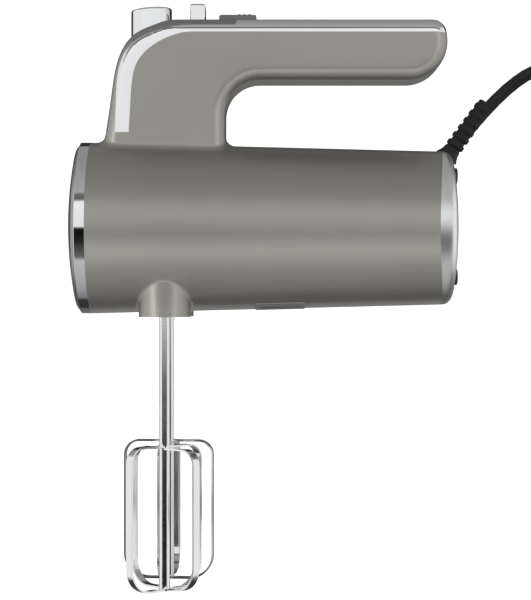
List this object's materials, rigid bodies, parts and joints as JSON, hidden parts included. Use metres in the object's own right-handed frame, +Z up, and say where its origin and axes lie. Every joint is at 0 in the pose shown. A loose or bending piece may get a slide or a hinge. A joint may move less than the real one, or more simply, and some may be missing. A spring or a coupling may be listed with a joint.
{
  "type": "hand mixer",
  "caption": "Electric hand mixer: a tapering barrel holds a motor and worm drive under an open-ended grip, with beaters that turn and eject.",
  "frame": {"origin": "centre of the grip bar, where the hand closes round it", "axes": "+Z up, away from the beaters; +X from the beater end to the cord end; -Y the user's left side"},
  "size_m": [0.4028, 0.1118, 0.2972],
  "materials": {
    "housing_paint": "satin metallic paint",
    "panel_grey": "satin",
    "chrome": "polished",
    "front_satin": "satin",
    "vent_grey": "satin",
    "button_grey": "satin",
    "black_rubber": "matte",
    "black_plastic": "matte",
    "steel": "ground",
    "beater_steel": "polished",
    "white_nylon": "satin",
    "copper": "enamelled",
    "brass": "plain",
    "carbon": "matte",
    "board_green": "satin",
    "board_mixed": "satin"
  },
  "bodies": {
    "housing": {"housing_left": "housing_paint", "housing_right": "housing_paint", "handle_trim": "chrome", "control_panel": "panel_grey", "front_ring": "chrome", "front_cap": "front_satin", "rear_cover": "chrome", "rear_feet": "black_rubber", "vent_plate": "vent_grey", "housing_screws": "steel", "rear_screws": "steel", "gearbox_cradle": "black_plastic", "gearbox_cover": "black_plastic", "gearbox_screws": "steel", "stator_core": "steel", "stator_coils": "copper", "motor_bracket": "black_plastic", "front_bearing": "steel", "middle_bearing": "steel", "rear_bearing": "steel", "ejector_guide": "black_plastic", "eject_spring": "steel", "speed_switch": "black_plastic", "turbo_switch": "black_plastic", "turbo_spring": "steel", "circuit_board": "board_green", "board_parts": "board_mixed", "board_screws": "steel", "terminal_block": "black_plastic", "cord_clamp": "black_plastic", "strain_relief": "black_rubber", "cord": "black_rubber", "cord_tail": "black_rubber", "cord_coil": "black_rubber", "coil_tie": "black_plastic", "plug_body": "black_plastic", "plug_pins": "brass", "spindle_bushes": "brass", "carbon_brushes": "carbon", "brush_boxes": "brass", "brush_springs": "steel"},
    "rotor": {"motor_shaft": "steel", "rotor_core": "steel", "rotor_windings": "copper", "commutator": "copper", "fan": "black_plastic"},
    "drive_left": {"worm_wheel_left": "white_nylon", "spindle_left": "steel"},
    "drive_right": {"worm_wheel_right": "white_nylon", "spindle_right": "steel"},
    "beater_left": {"beater_shaft_left": "beater_steel", "beater_loop_outer_left": "beater_steel", "beater_loop_inner_left": "beater_steel"},
    "beater_right": {"beater_shaft_right": "beater_steel", "beater_loop_outer_right": "beater_steel", "beater_loop_inner_right": "beater_steel"},
    "eject": {"eject_button": "chrome", "ejector_fork": "black_plastic"},
    "speed": {"speed_slider": "chrome"},
    "turbo": {"turbo_button": "button_grey"}
  },
  "joints": [
    {"name": "motor_spin", "type": "hinge", "parent": "housing", "child": "rotor", "pos_m": [-0.0861, 0, -0.09], "axis": [1, 0, 0], "continuous": true},
    {"name": "spindle_left_spin", "type": "hinge", "parent": "housing", "child": "drive_left", "pos_m": [-0.0861, -0.02, -0.09], "axis": [0, 0, 1], "continuous": true},
    {"name": "spindle_right_spin", "type": "hinge", "parent": "housing", "child": "drive_right", "pos_m": [-0.0861, 0.02, -0.09], "axis": [0, 0, 1], "continuous": true},
    {"name": "beater_left_pull", "type": "slide", "parent": "drive_left", "child": "beater_left", "axis": [0, 0, -1], "range_m": [0, 0.05]},
    {"name": "beater_right_pull", "type": "slide", "parent": "drive_right", "child": "beater_right", "axis": [0, 0, -1], "range_m": [0, 0.05]},
    {"name": "eject_press", "type": "slide", "parent": "housing", "child": "eject", "axis": [0, 0, -1], "range_m": [0, 0.006], "stiffness_N_per_m": 500, "springref_m": -0.003},
    {"name": "speed_slide", "type": "slide", "parent": "housing", "child": "speed", "axis": [-1, 0, 0], "range_m": [0, 0.008]},
    {"name": "turbo_press", "type": "slide", "parent": "housing", "child": "turbo", "axis": [0, 0, -1], "range_m": [0, 0.002], "stiffness_N_per_m": 600, "springref_m": -0.0015}
  ],
  "couplings": [
    {"joint": "spindle_left_spin", "follows": "motor_spin", "ratio": 0.0625},
    {"joint": "spindle_right_spin", "follows": "motor_spin", "ratio": -0.0625}
  ]
}
